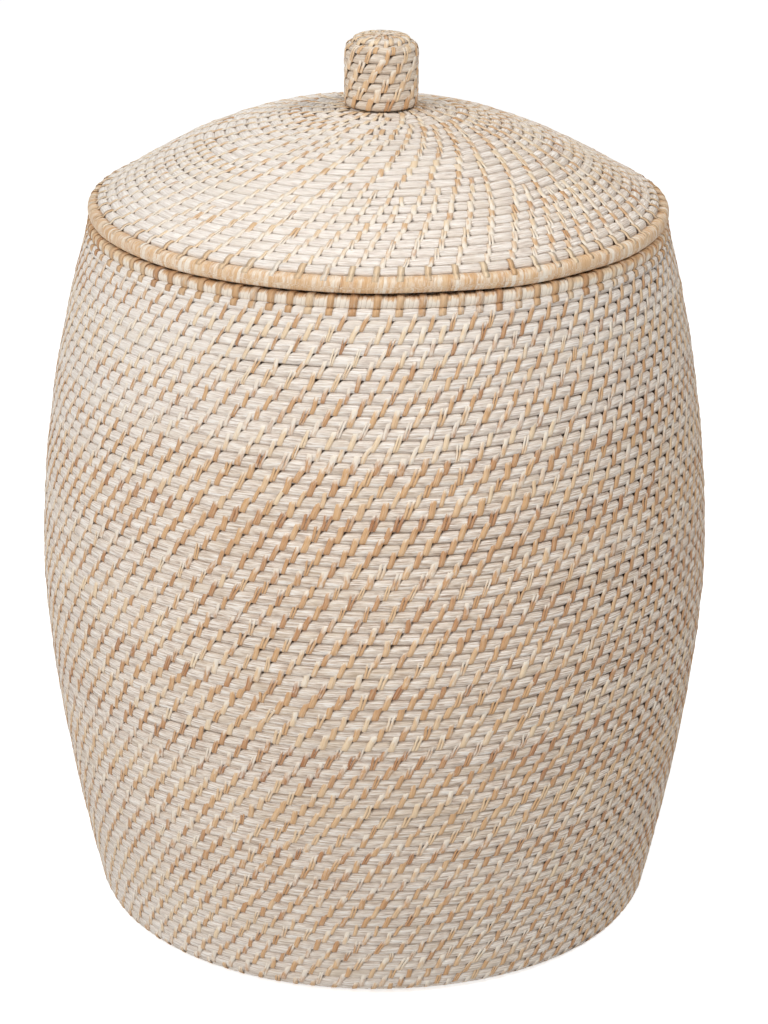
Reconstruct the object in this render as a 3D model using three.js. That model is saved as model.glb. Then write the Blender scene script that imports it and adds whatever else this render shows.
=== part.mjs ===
// Round coiled-rattan laundry basket with a lift-off domed lid and a coiled knob.
// Units are millimetres. +Z is up, the axis of the basket is the Z axis, and the origin is the
// centre of the foot circle on the floor.
//
// A coiled basket is one long round core cane laid up in a spiral. Each turn is bound to the turn
// below it by a strip of rattan peel. The core is spliced from separate canes, and each solid below
// is the stretch of turns made by one cane: a disc or flat ring in the base, a course of four turns
// in the wall, and a conical ring in the lid. The two rims are single thicker rods wrapped closely
// in peel.
import * as THREE from 'three';

// ---- driving dimensions -------------------------------------------------------------------
const WALL_HEIGHT = 495;        // floor to the top of the basket's rim
const BELLY_RADIUS = 235;       // widest outside radius
const BELLY_HEIGHT = 246;       // where the basket is widest
const FOOT_RADIUS = 197;        // outside radius of the barrel curve at the floor
const MOUTH_RADIUS = 197;       // outside radius at the rim
const UPPER_CURVE = 2.0;        // exponent of the barrel curve above the belly
const LOWER_CURVE = 1.53;       // exponent of the barrel curve below the belly

const ROW_PITCH = 7.46;         // one turn of core cane, measured along the wall
const ROWS_PER_CANE = 4;        // turns that one cane makes in the wall
const WALL_COURSES = 16;
const COIL_THICKNESS = 8.5;     // cane and peel, through the wall
const CLEARANCE = 0.3;          // between solids that touch

const RIM_HEIGHT = 8.7;         // wrapped rod on the basket's mouth
const LID_RADIUS = 198.2;       // outside of the lid's wrapped rod
const LID_ROD_HEIGHT = 11.6;
const LID_ROD_WIDTH = 10;
const DOME_EDGE_RADIUS = 193.5; // where the domed surface meets the rod
const DOME_EDGE_HEIGHT = 11.2;  // of that edge above the rod's lowest point
const DOME_RISE = 64.5;         // from that edge up to the foot of the knob
const DOME_BULGE = 13.6;        // extra height of the convex dome half-way in
const DOME_THICKNESS = 8.5;
const LID_CANES = 4;

const SEAT_RADIUS = 185.5;      // locating ring under the lid, inside the mouth
const SEAT_DEPTH = 11;          // how far it reaches below the top of the basket's rim

const KNOB_RADIUS = 25.5;
const KNOB_HEIGHT = 48.5;
const KNOB_CORE_RADIUS = 18.6;
const KNOB_COIL_THICKNESS = 6.6;
const KNOB_SHOULDER = 10;       // how far in the rounded upper edge reaches
const KNOB_CROWN = 12;          // height of the turns that close over the top
const KNOB_CROWN_RISE = 1.5;    // of the slightly domed top

const BASE_THICKNESS = 8;
const BASE_DISH = 3;            // the middle of the base stands this far off the floor
const BASE_CANES = 3;

const SEGMENTS = 48;            // round the axis

// ---- materials ----------------------------------------------------------------------------
const limedCane = new THREE.MeshStandardMaterial({ color: 0xd9cdbb, roughness: 0.82, metalness: 0 });
const peelWrap = new THREE.MeshStandardMaterial({ color: 0xc49a6c, roughness: 0.6, metalness: 0 });
const knobCane = new THREE.MeshStandardMaterial({ color: 0xcdb595, roughness: 0.75, metalness: 0 });
const coreWood = new THREE.MeshStandardMaterial({ color: 0xb8946a, roughness: 0.8, metalness: 0 });

const basket = new THREE.Group();
basket.name = 'basket';

// ---- curves -------------------------------------------------------------------------------
// Outside radius of the barrel at height z.
function wallRadius(z) {
  if (z > BELLY_HEIGHT) {
    const t = (z - BELLY_HEIGHT) / (WALL_HEIGHT - BELLY_HEIGHT);
    return BELLY_RADIUS - (BELLY_RADIUS - MOUTH_RADIUS) * Math.pow(t, UPPER_CURVE);
  }
  const t = (BELLY_HEIGHT - z) / BELLY_HEIGHT;
  return BELLY_RADIUS - (BELLY_RADIUS - FOOT_RADIUS) * Math.pow(t, LOWER_CURVE);
}

// Height reached after following the barrel curve upwards for a given length.
function climb(z, length) {
  const steps = 40;
  for (let i = 0; i < steps; i += 1) {
    const slope = wallRadius(z + 0.5) - wallRadius(z - 0.5);
    z += length / steps / Math.hypot(1, slope);
  }
  return z;
}

// Height of the dome's outer surface above its edge, at radius r. It is level under the knob.
function domeRise(r) {
  const t = Math.min(1, (DOME_EDGE_RADIUS - r) / (DOME_EDGE_RADIUS - KNOB_RADIUS));
  return DOME_RISE * t + 4 * DOME_BULGE * t * (1 - t);
}

// Height of the dome's inner surface above the same edge, for an even thickness square to it.
function domeUnderside(r) {
  const slope = r <= KNOB_RADIUS ? 0 : domeRise(r + 0.5) - domeRise(r - 0.5);
  return domeRise(r) - DOME_THICKNESS * Math.hypot(1, slope);
}

// ---- solids of revolution -----------------------------------------------------------------
// profile: [radius, height] pairs, counter-clockwise, not repeated at the end. A profile that
// starts on the axis makes a disc, any other a ring.
function turn(name, profile, material) {
  const points = profile.map(([r, z]) => new THREE.Vector2(r, z));
  if (profile[0][0] > 0) points.push(points[0].clone());
  const geometry = new THREE.LatheGeometry(points, SEGMENTS);
  geometry.rotateX(Math.PI / 2);
  const mesh = new THREE.Mesh(geometry, material.clone());
  mesh.name = name;
  return mesh;
}

// Ring of a round rod: an eight-sided section of the given size, lowest point at height z.
function rodSection(outerRadius, z, width, height) {
  const cut = 0.29;
  const [r0, r1, r2, r3] = [1, 1 - cut, cut, 0].map((k) => outerRadius - width + width * k);
  const [z0, z1, z2, z3] = [0, cut, 1 - cut, 1].map((k) => z + height * k);
  return [[r1, z0], [r0, z1], [r0, z2], [r1, z3], [r2, z3], [r3, z2], [r3, z1], [r2, z0]];
}

// ---- base: a flat spiral, very slightly dished so that the outer turn stands on the floor ---
const footInner = wallRadius(0) - COIL_THICKNESS - 3;
const baseOuter = footInner - CLEARANCE;
function baseHeight(r) {
  return 0.8 + (BASE_DISH - 0.8) * (1 - Math.pow(r / baseOuter, 2));
}
for (let i = 0; i < BASE_CANES; i += 1) {
  // Canes of equal length cover equal areas of the spiral.
  const inner = baseOuter * Math.sqrt(i / BASE_CANES);
  const outer = baseOuter * Math.sqrt((i + 1) / BASE_CANES) - (i + 1 < BASE_CANES ? CLEARANCE : 0);
  const low = baseHeight(outer);
  const profile = i === 0
    ? [[0, baseHeight(0)], [outer, low], [outer, low + BASE_THICKNESS], [0, baseHeight(0) + BASE_THICKNESS]]
    : [[inner, baseHeight(inner)], [outer, low], [outer, low + BASE_THICKNESS],
      [inner, baseHeight(inner) + BASE_THICKNESS]];
  basket.add(turn(`base_coil_${i + 1}`, profile, limedCane));
}

// ---- foot: the turn where the base becomes the wall ------------------------------------------
const footTop = climb(0, ROW_PITCH);
{
  const r = wallRadius(0);
  basket.add(turn('foot_coil', [
    [footInner + 2.5, 0], [r - 4, 0], [wallRadius(3) - 0.6, 3], [wallRadius(footTop), footTop - CLEARANCE],
    [r - COIL_THICKNESS, footTop - CLEARANCE], [footInner, 3.5],
  ], limedCane));
}

// ---- wall: courses of four turns, each the length of one cane --------------------------------
const courseLength = ROW_PITCH * ROWS_PER_CANE;
let wallTop = footTop;
for (let i = 0; i < WALL_COURSES; i += 1) {
  const low = wallTop;
  const high = climb(low, courseLength);
  basket.add(turn(`wall_coil_${String(i + 1).padStart(2, '0')}`, [
    [wallRadius(low), low], [wallRadius(high), high - CLEARANCE],
    [wallRadius(high) - COIL_THICKNESS, high - CLEARANCE], [wallRadius(low) - COIL_THICKNESS, low],
  ], limedCane));
  wallTop = high;
}

// ---- mouth: a last turn under the rim, then the rod wrapped closely in peel ------------------
const rimLow = WALL_HEIGHT - RIM_HEIGHT;
basket.add(turn('collar_coil', [
  [wallRadius(wallTop), wallTop], [wallRadius(rimLow), rimLow - CLEARANCE],
  [wallRadius(rimLow) - COIL_THICKNESS, rimLow - CLEARANCE], [wallRadius(wallTop) - COIL_THICKNESS, wallTop],
], limedCane));
const mouthOuter = wallRadius(rimLow + RIM_HEIGHT / 2);
basket.add(turn('mouth_rim', rodSection(mouthOuter, rimLow, COIL_THICKNESS + 0.6, RIM_HEIGHT), peelWrap));

// ---- lid: sits with its wrapped rod on the mouth rim and lifts straight off -------------------
const lid = new THREE.Group();
lid.name = 'lid';
const lidLow = WALL_HEIGHT + CLEARANCE;
lid.add(turn('lid_rim', rodSection(LID_RADIUS, lidLow, LID_ROD_WIDTH, LID_ROD_HEIGHT), peelWrap));

const domeEdge = lidLow + DOME_EDGE_HEIGHT;
const domeOuterRadius = LID_RADIUS - LID_ROD_WIDTH - CLEARANCE;
for (let i = 0; i < LID_CANES; i += 1) {
  // Equal cane lengths again, counted from the rim inwards. The last one closes the centre.
  const square = domeOuterRadius * domeOuterRadius;
  const outer = Math.sqrt(square * (1 - i / LID_CANES)) - (i > 0 ? CLEARANCE : 0);
  const inner = i + 1 < LID_CANES ? Math.sqrt(square * (1 - (i + 1) / LID_CANES)) : 0;
  const stations = i + 1 < LID_CANES
    ? [inner, (inner + outer) / 2, outer]
    : [0, KNOB_RADIUS, outer * 0.6, outer];
  const upper = stations.map((r) => [r, domeEdge + domeRise(r)]);
  const lower = stations.map((r) => [r, domeEdge + domeUnderside(r)]);
  lid.add(turn(`lid_coil_${i + 1}`, [...lower, ...upper.reverse()], limedCane));
}

// ---- locating ring: hangs inside the mouth and keeps the lid from sliding off -----------------
{
  const [rIn, rOut] = [SEAT_RADIUS - COIL_THICKNESS, SEAT_RADIUS];
  lid.add(turn('lid_seat_ring', [
    [rIn + 1.5, WALL_HEIGHT - SEAT_DEPTH], [rOut - 2.5, WALL_HEIGHT - SEAT_DEPTH],
    [rOut, WALL_HEIGHT - SEAT_DEPTH + 3], [rOut, domeEdge + domeUnderside(rOut) - CLEARANCE * 2],
    [rIn, domeEdge + domeUnderside(rIn) - CLEARANCE * 2], [rIn, WALL_HEIGHT - SEAT_DEPTH + 2],
  ], limedCane));
}

// ---- knob: a short cylinder of tight turns on a core, whose last turns close over the top -----
const knobLow = domeEdge + DOME_RISE + CLEARANCE;
const knobHigh = knobLow + KNOB_HEIGHT;
const crownLow = knobHigh - KNOB_CROWN;
const coreHigh = knobHigh - KNOB_COIL_THICKNESS;
lid.add(turn('knob_core', [
  [0, knobLow], [KNOB_CORE_RADIUS, knobLow],
  [KNOB_CORE_RADIUS, coreHigh - CLEARANCE], [0, coreHigh - CLEARANCE],
], coreWood));
lid.add(turn('knob_coil', [
  [KNOB_CORE_RADIUS + CLEARANCE, knobLow], [KNOB_RADIUS - 1, knobLow], [KNOB_RADIUS, knobLow + 3],
  [KNOB_RADIUS, crownLow - CLEARANCE], [KNOB_CORE_RADIUS + CLEARANCE, crownLow - CLEARANCE],
], knobCane));
const shoulder = [0, 0.3, 0.6, 0.85].map((k) => [
  KNOB_RADIUS - KNOB_SHOULDER * (1 - Math.cos((k * Math.PI) / 2)),
  crownLow + (KNOB_CROWN - KNOB_CROWN_RISE) * Math.sin((k * Math.PI) / 2),
]);
lid.add(turn('knob_crown', [
  [0, coreHigh], [KNOB_CORE_RADIUS + CLEARANCE, coreHigh], [KNOB_CORE_RADIUS + CLEARANCE, crownLow],
  ...shoulder, [KNOB_RADIUS - KNOB_SHOULDER, knobHigh - KNOB_CROWN_RISE], [0, knobHigh],
], knobCane));
basket.add(lid);

export default basket;
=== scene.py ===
"""Coiled rattan laundry basket with a lift-off lid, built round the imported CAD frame.

Every turn of core cane and every stitch of peel is a real mesh. One spiral of core runs from the
middle of the base, round the foot and up the wall; a second runs from the middle of the lid to its
rim, and a third winds round the knob and closes over its top. All lengths in the weave code are in
millimetres and become metres when a mesh is made.
"""
import math

import bpy
import numpy as np
from mathutils import Matrix, Vector


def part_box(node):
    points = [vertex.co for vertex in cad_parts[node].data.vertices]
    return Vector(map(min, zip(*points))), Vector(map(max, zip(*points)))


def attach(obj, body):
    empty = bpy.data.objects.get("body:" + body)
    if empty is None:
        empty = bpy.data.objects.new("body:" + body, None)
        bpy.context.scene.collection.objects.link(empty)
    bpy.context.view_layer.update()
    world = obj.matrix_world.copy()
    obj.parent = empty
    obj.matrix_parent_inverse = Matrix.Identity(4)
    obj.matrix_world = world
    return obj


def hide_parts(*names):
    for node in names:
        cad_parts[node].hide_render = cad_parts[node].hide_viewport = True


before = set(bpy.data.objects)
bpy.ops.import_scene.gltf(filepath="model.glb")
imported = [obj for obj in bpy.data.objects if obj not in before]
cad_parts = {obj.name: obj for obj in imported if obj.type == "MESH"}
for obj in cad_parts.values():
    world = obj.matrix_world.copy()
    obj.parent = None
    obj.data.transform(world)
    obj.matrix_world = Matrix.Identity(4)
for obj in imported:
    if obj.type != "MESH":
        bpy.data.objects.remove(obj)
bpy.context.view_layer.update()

MM = 0.001
TAU = 2 * math.pi
BACK = math.pi / 2          # where each turn starts, at the back of the basket

PITCH = 7.46                # one turn of core to the next
CORE_HALF = 3.52            # half thickness of the core, square to the wall
PEEL = 0.5                  # thickness of a stitch
CLIMB = 0.16                # share of a turn in which the core rises to the next row


# ---- the frame's curves ----------------------
def rz(node):
    """The (radius, height) corners of a node's profile, in mm."""
    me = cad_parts[node].data
    co = np.empty(len(me.vertices) * 3)
    me.vertices.foreach_get("co", co)
    co = co.reshape(-1, 3) / MM
    pairs = np.column_stack([np.hypot(co[:, 0], co[:, 1]), co[:, 2]])
    return np.unique(np.round(pairs, 1), axis=0)


def ends(node):
    """Outermost corners of a node's lower and upper edge, as (r, z)."""
    p = rz(node)
    low, high = p[p[:, 1] < p[:, 1].min() + 1], p[p[:, 1] > p[:, 1].max() - 1]
    return low[np.argmax(low[:, 0])], high[np.argmax(high[:, 0])]


WALLS = sorted(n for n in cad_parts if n.startswith("wall_coil_"))
BASES = sorted(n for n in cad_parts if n.startswith("base_coil_"))
LIDS = sorted(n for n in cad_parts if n.startswith("lid_coil_"))


CURVE_STEP = 0.25           # distance between two points of a curve


def smoothed(v, width):
    """The values averaged over a window, carried on past both ends by odd reflection."""
    count = int(width / CURVE_STEP) | 1
    window = np.hanning(count + 2)[1:-1]
    window /= window.sum()
    pad = count // 2
    longer = np.concatenate([2 * v[0] - v[pad:0:-1], v, 2 * v[-1] - v[-2:-pad - 2:-1]])
    return np.convolve(longer, window, "valid")


class Meridian:
    """A smooth curve (r, z) by arc length, with its direction."""

    def __init__(self, pts, smooth=0.0):
        pts = np.asarray(pts, float)
        d = np.concatenate([[0], np.cumsum(np.hypot(*np.diff(pts, axis=0).T))])
        s = np.arange(0, d[-1], CURVE_STEP)
        r, z = np.interp(s, d, pts[:, 0]), np.interp(s, d, pts[:, 1])
        if smooth > 0:
            r, z = smoothed(r, smooth), smoothed(z, smooth)
        self.s, self.r, self.z = s, r, z
        tr, tz = np.gradient(r, s), np.gradient(z, s)
        n = np.hypot(tr, tz)
        self.tr, self.tz = tr / n, tz / n
        self.length = s[-1]

    def at(self, s):
        """Place and direction at distance s, carried on straight past both ends."""
        r, z = np.interp(s, self.s, self.r), np.interp(s, self.s, self.z)
        tr, tz = np.interp(s, self.s, self.tr), np.interp(s, self.s, self.tz)
        over = s - np.clip(s, 0, self.length)
        return r + over * tr, z + over * tz, tr, tz

    def radius(self, s):
        return np.interp(s, self.s, self.r)

    def s_at_height(self, z):
        return float(np.interp(z, self.z, self.s))


# ---- meshes ----------------------------------
BAND_MARGIN, BAND_FILL = 0.04, 0.92         # of a band in the bake map
TILES_ACROSS = 12                           # strips of peel side by side in the bake map
STRIP_SIDES = 5                             # a strip has a flat back and a rounded face
CORE_MAP, STITCH_MAP, STRAP_MAP = (0.0, 0.62), (0.64, 1.0), (0.82, 1.0)     # heights in the map


class Soup:
    """Quads gathered from many strips, with point attributes and bake UVs."""

    def __init__(self):
        self.co, self.quads, self.uv, self.attr, self.mat = [], [], [], {}, []
        self.n = 0

    def add(self, co, quads, uv, mat=0, **attr):
        self.co.append(co.reshape(-1, 3))
        self.quads.append(quads.reshape(-1, 4) + self.n)
        self.uv.append(uv.reshape(-1, 4, 2))
        self.mat.append(np.full(quads.reshape(-1, 4).shape[0], mat, np.int32))
        count = len(self.co[-1])
        for k, width in (("lay", 3), ("deep", 1), ("tone", 1), ("wash", 1), ("mid", 1)):
            v = np.asarray(attr.get(k, np.zeros(count)), float)
            self.attr.setdefault(k, []).append(v.reshape(count, width))
        self.n += count

    def mesh(self, name, materials):
        co = np.concatenate(self.co) * MM
        quads = np.concatenate(self.quads)
        me = bpy.data.meshes.new(name)
        me.vertices.add(len(co))
        me.vertices.foreach_set("co", co.ravel())
        me.loops.add(quads.size)
        me.loops.foreach_set("vertex_index", quads.ravel().astype(np.int32))
        me.polygons.add(len(quads))
        me.polygons.foreach_set("loop_start", np.arange(0, quads.size, 4, dtype=np.int32))
        me.polygons.foreach_set("material_index", np.concatenate(self.mat))
        me.polygons.foreach_set("use_smooth", np.ones(len(quads), bool))
        me.update(calc_edges=True)
        uv = me.uv_layers.new(name="OFBake")
        uv.data.foreach_set("uv", np.clip(np.concatenate(self.uv), 0, 1).ravel().astype(np.float32))
        for k, v in self.attr.items():
            v = np.concatenate(v)
            kind, field = ("FLOAT_VECTOR", "vector") if v.shape[1] == 3 else ("FLOAT", "value")
            a = me.attributes.new(k, kind, "POINT")
            a.data.foreach_set(field, v.ravel().astype(np.float32))
        for m in materials:
            me.materials.append(m)
        ob = bpy.data.objects.new(name, me)
        bpy.context.scene.collection.objects.link(ob)
        return ob


def tube_quads(cols, rows, closed_cols=False):
    """Quads of a grid of cols rings with rows points each; a ring closes on itself."""
    c = np.arange(cols if closed_cols else cols - 1)[:, None]
    k = np.arange(rows)[None]
    c2, k2 = (c + 1) % cols, (k + 1) % rows
    return np.stack([c * rows + k, c2 * rows + k, c2 * rows + k2, c * rows + k2], -1)


def corner_uvs(ua, ub, va, vb):
    return np.stack([np.stack(pair, -1) for pair in ((ua, va), (ub, va), (ub, vb), (ua, vb))], -2)


def tube_uvs(start, stop, sides, bands, v0, v1):
    """Bake UVs of a long tube, cut into bands that lie one over another.

    start and stop: where each ring of quads begins and ends, counted in bands.
    """
    band = np.floor(start + 1e-9)
    high = (v1 - v0) / bands
    side = np.arange(sides)[None]
    va = v0 + (band[:, None] + BAND_MARGIN + BAND_FILL * side / sides) * high
    vb = v0 + (band[:, None] + BAND_MARGIN + BAND_FILL * (side + 1) / sides) * high
    ua = (start - band)[:, None] + 0 * va
    ub = np.minimum(stop - band, 1.0)[:, None] + 0 * va
    return corner_uvs(ua, ub, va, vb)


def tile_uvs(count, arc, v0, v1):
    """Bake UVs of short strips with STRIP_SIDES sides, one small tile for each strip."""
    rows = math.ceil(count / TILES_ACROSS)
    tx = (np.arange(count) % TILES_ACROSS) / TILES_ACROSS
    ty = (np.arange(count) // TILES_ACROSS) / rows
    un = arc / arc[-1] * 0.94 + 0.03
    vn = np.arange(STRIP_SIDES + 1) / STRIP_SIDES * 0.88 + 0.06
    flat = np.zeros((count, len(arc) - 1, STRIP_SIDES))
    ua = tx[:, None, None] + un[None, :-1, None] / TILES_ACROSS + flat
    ub = tx[:, None, None] + un[None, 1:, None] / TILES_ACROSS + flat
    va = v0 + (ty[:, None, None] + vn[None, None, :-1] / rows) * (v1 - v0) + flat
    vb = v0 + (ty[:, None, None] + vn[None, None, 1:] / rows) * (v1 - v0) + flat
    return corner_uvs(ua, ub, va, vb)


def add_strips(soup, mat, co, across, arc, mark, deep, band, **attr):
    """Add flat strips whose points co lie as (strip, along, round), each with its own grain."""
    n, m = co.shape[:2]
    blank = np.zeros(co.shape[:3])
    quads = tube_quads(m, STRIP_SIDES).reshape(-1, 4)[None]
    quads = quads + (np.arange(n) * m * STRIP_SIDES)[:, None, None]
    lay = np.stack([across + blank, arc[:, None] + blank, mark[:, None, None] + blank], -1)
    soup.add(co, quads, tile_uvs(n, arc, *band), mat, lay=lay, deep=deep + blank,
             **{k: v + blank for k, v in attr.items()})


def signed_power(x, power):
    return np.sign(x) * np.abs(x) ** power


# ---- slow unevenness of hand work ------------
class Wander:
    """Smooth pseudo-random field over (angle, distance), about -1 to 1."""

    def __init__(self, rng, terms, spin, run):
        self.m = rng.integers(1, spin + 1, terms) * rng.choice([-1, 1], terms)
        self.k = rng.uniform(-1, 1, terms) * TAU / run
        self.p = rng.uniform(0, TAU, terms)
        self.a = rng.uniform(0.5, 1, terms)
        self.a /= np.sqrt((self.a ** 2).sum() / 2) * 1.6

    def __call__(self, phi, s):
        out = 0
        for m, k, p, a in zip(self.m, self.k, self.p, self.a):
            out = out + a * np.cos(m * phi + k * s + p)
        return out


# ---- the weave -------------------------------
# Section of the core: angle from the outward normal towards the next row.
PSI = np.radians([-96, -73, -55, -28, 4, 24, 42, 58, 75, 96, 130, 164, 196, 230])
FLAT = 2.9                  # exponent of the rounded-square section
SQUEEZE = 1.11              # rows are pressed into each other by this much
STRIP_LASTS = 19            # stitches made with one strip of peel


def section(flat):
    """The core's section as (up, outward), each from -1 to 1."""
    return signed_power(np.sin(PSI), 2 / flat), signed_power(np.cos(PSI), 2 / flat)


class Weave:
    """One spiral of core on a meridian, with its stitches.

    spacing(r, s): wanted distance between stitches; gaps over 1.33 of it get a new one.
    drift: how far the stitches of a row stand along from those of the row before, mm.
    lean: sideways run of a stitch for each mm across the row. first: stitches in the first turn.
    In all of these functions th is the angle round the basket, r the radius, s the distance, mm.
    """
    half, flat, squeeze = CORE_HALF, FLAT, SQUEEZE
    side = 1                # 1 when the face lies right of the meridian's direction, -1 when left
    reach = 0.5             # how far each stitch runs into the next row, as a share of the row
    fixed = None            # (distance, count): the same count of stitches in every row past there
    rim_binds = False       # the last turn has no stitches, because those of the rim hold it
    taper_start = False     # the core grows from nothing
    taper_end = True        # the core dies away to nothing
    lime = fair = 0.0       # extra white wash on the stitches, and how much fairer their peel is
    stain = 0.0             # how much browner the whole core is

    def shape(self, th, s):
        """How far the whole weave stands out of round, mm."""
        return 0.0

    def white(self, th, s):
        """How much whiter it is there, 0 to 1: more white wash, and painted light where the light falls.
        """
        return 0.0

    def lower_half_shade(self, th):
        """How much shade is painted on the lower half of each turn, 0 to 1."""
        return 0.0 * th

    def pits(self, th, r):
        """How deep the small hole beside each stitch is, and how much shade is painted in it."""
        return 1.0

    def puff(self, th):
        """How far the core swells between two stitches, as a share of its thickness."""
        return 0.0 * th

    def seam(self, th):
        """How much deeper the groove between two turns is, mm."""
        return 0.0 * th

    def __init__(self, meridian, turns, pitch, spacing, drift, lean, width, rng, first=5, **looks):
        self.mer, self.turns, self.pitch = meridian, turns, pitch
        self.lean, self.width, self.rng = lean, width, rng
        for name, value in looks.items():
            setattr(self, name, value)
        self.sway = Wander(rng, 9, 9, 60)
        self.own = rng.uniform(0, TAU, (turns + 2, 4))
        self.make_stitches(spacing, drift, first)

    def level(self, phi):
        """The core's distance along the meridian at spiral angle phi, and how full it is."""
        t = phi / TAU
        j = np.floor(t)
        f = t - j
        w = np.clip((f - (1 - CLIMB)) / CLIMB, 0, 1)
        w = w * w * (3 - 2 * w)
        s = self.pitch * (j + 0.5 + w)
        full = np.ones_like(s)
        if self.taper_end:
            last = j >= self.turns - 1
            s = np.where(last, self.pitch * (j + 0.5 + w / 2), s)
            full = np.where(last, 1 - w * 0.985, full)
        if self.taper_start:
            pre = j < 0
            s = np.where(pre, self.pitch * (0.5 * w), s)
            full = np.where(pre, np.maximum(w, 0.015), full)
        return s, full

    def place(self, phi, along, a, b):
        """Points at spiral angle phi, moved along mm round the turn, a up the wall, b outward."""
        s, full = self.level(phi)
        ii = np.clip(np.floor(phi / TAU).astype(int) + 1, 0, self.turns + 1)
        own = self.own[ii]
        angle = phi % TAU
        edge = np.clip(np.minimum(s, self.pitch * self.turns - s) / 40, 0, 1)
        wob = 0.12 * edge * (np.cos(3 * angle + own[..., 0]) + 0.7 * np.cos(8 * angle + own[..., 1])
                             + 0.6 * np.cos(17 * angle + own[..., 2]))
        wave = 0.75 * edge * self.sway(angle, s)
        r, z, tr, tz = self.mer.at(s + wob + wave + a * full)
        bulge = 0.22 * np.cos(5 * angle + own[..., 3]) * edge + self.shape(angle, s)
        r0 = np.maximum(self.mer.radius(s), 2.0)
        bb = (b * np.sqrt(full) + bulge) * self.side
        rr, zz = r + bb * tz, z - bb * tr
        th = BACK + (phi + along / r0) * self.side
        return np.stack([rr * np.cos(th), rr * np.sin(th), zz], -1)

    def make_stitches(self, spacing, drift, first):
        """Choose the angle, width, colour and lean of every stitch."""
        rng = self.rng
        row = np.sort((np.arange(first) + rng.uniform(-0.1, 0.1, first)) * TAU / first)
        rows = []
        for j in range(self.turns):
            s = self.pitch * (j + 0.5)
            r = float(self.mer.radius(s))
            want = spacing(r, s) / r
            row = np.sort((row + drift / r + rng.normal(0, 0.035, len(row)) * want) % TAU)
            gap = np.diff(np.concatenate([row, [row[0] + TAU]]))
            row = row + (gap - np.roll(gap, 1)) * 0.13
            if self.fixed and s > self.fixed[0]:
                count = self.fixed[1]
                if len(row) != count:
                    row = (np.arange(count) + rng.uniform(-0.1, 0.1, count)) * TAU / count
            else:
                wide = gap > 1.33 * want
                row = np.concatenate([row, row[wide] + gap[wide] / 2])
            row = np.sort(row % TAU)
            rows.append(row + TAU * j)
        self.rows = rows
        phi = np.concatenate(rows)
        keep = np.ones(len(phi), bool)
        if self.taper_end:
            keep &= phi < TAU * (self.turns - 0.3 * CLIMB)
        self.phi = phi[keep]
        n = len(self.phi)
        # The stitches made with one strip of peel share its width and colour.
        run = np.cumsum(rng.random(n) < 1 / STRIP_LASTS)
        strips = run.max() + 1
        tone = rng.normal(0.5 + self.fair, 0.2, strips)[run] + rng.normal(0, 0.10, n)
        self.tone = np.clip(tone, 0, 1)
        wash = rng.beta(1.3, 2.6, strips)[run] + rng.normal(0, 0.12, n) + self.lime
        self.wash = np.clip(wash, 0, 1)
        wide = rng.normal(1, 0.13, strips)[run] + rng.normal(0, 0.05, n)
        self.wide = self.width * np.clip(wide, 0.6, 1.4)
        self.tilt = self.lean * (1 + rng.normal(0, 0.16, n))
        self.split = rng.random(n) < (0.14 + 0.5 * (rng.random(strips) < 0.28)[run])
        self.jump = rng.normal(0, 0.22, n)
        # The white field whitens and narrows the stitches: more white wash, and painted light where the
        # light falls.
        level = self.level(self.phi)[0]
        field = self.white(BACK + self.phi * self.side, level)
        self.wash = np.clip(self.wash + 0.42 * field, 0, 1)
        self.tone = np.clip(self.tone + 0.16 * field, 0, 1)
        self.wide = self.wide * (1 - 0.35 * field)
        self.radius = self.mer.radius(level)
        step = np.diff(self.phi, append=self.phi[-1] + (self.phi[-1] - self.phi[-2]))
        self.gap = step * self.radius
        self.wide = np.minimum(self.wide, 0.42 * np.minimum(self.gap, np.roll(self.gap, 1)) + 0.3)
        self.bead = rng.uniform(0, 1, n)

    def rings(self, lo, hi):
        """Where the core's rings stand between spiral angles lo and hi, seven for each stitch.

        Gives angle, tilt and swell of each ring, then how near it is to a stitch, to the small
        hole after it, and to the place before it that catches white wash.
        """
        pick = np.where((self.phi >= lo) & (self.phi < hi))[0]
        idx = np.arange(max(pick[0] - 1, 0), pick[-1] + 1)
        nxt = np.minimum(idx + 1, len(self.phi) - 1)
        g, w, w2 = self.gap[idx], self.wide[idx], self.wide[nxt]
        k = np.minimum(1, g / 12)
        middle = (g + w / 2 - w2 / 2) / 2
        if self.side > 0:
            off = [0 * g, w / 2 - 0.15 * k, w / 2 + 0.8 * k, w / 2 + 1.9 * k, middle + 0.4 * k,
                   g - w2 / 2 - 2.3 * k, g - w2 / 2 - 0.5 * k]
        else:
            off = [0 * g, w / 2 + 0.5 * k, w / 2 + 2.3 * k, middle - 0.4 * k, g - w2 / 2 - 1.9 * k,
                   g - w2 / 2 - 0.8 * k, g - w2 / 2 + 0.15 * k]
        off = np.stack(off, 1)
        near = np.array([1.0, 0.72, 0.5, 0.12, 0.0, 0.15, 0.7])
        pit = np.array([0.5, 1.0, 0.56, 0.1, 0.0, 0.0, 0.0])
        pale = np.array([0.0, 0.0, 0.0, 0.0, 0.0, 1.0, 0.8])
        if self.side < 0:
            near, pit, pale = (np.roll(x[::-1], 1) for x in (near, pit, pale))
        frac = off / g[:, None]
        phi = (self.phi[idx][:, None] + off / self.radius[idx][:, None]).ravel()
        tilt = (self.tilt[idx][:, None] * (1 - frac) + self.tilt[nxt][:, None] * frac).ravel()
        swell = np.repeat(self.bead[idx], off.shape[1])
        near, pit, pale = (np.tile(x, len(idx)) for x in (near, pit, pale))
        use = (phi > lo + 1e-6) & (phi < hi - 1e-6)
        held = (np.concatenate([x[use][:1], x[use], x[use][-1:]]) for x in (tilt, swell, near, pit, pale))
        return np.concatenate([[lo], phi[use], [hi]]), *held

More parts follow.
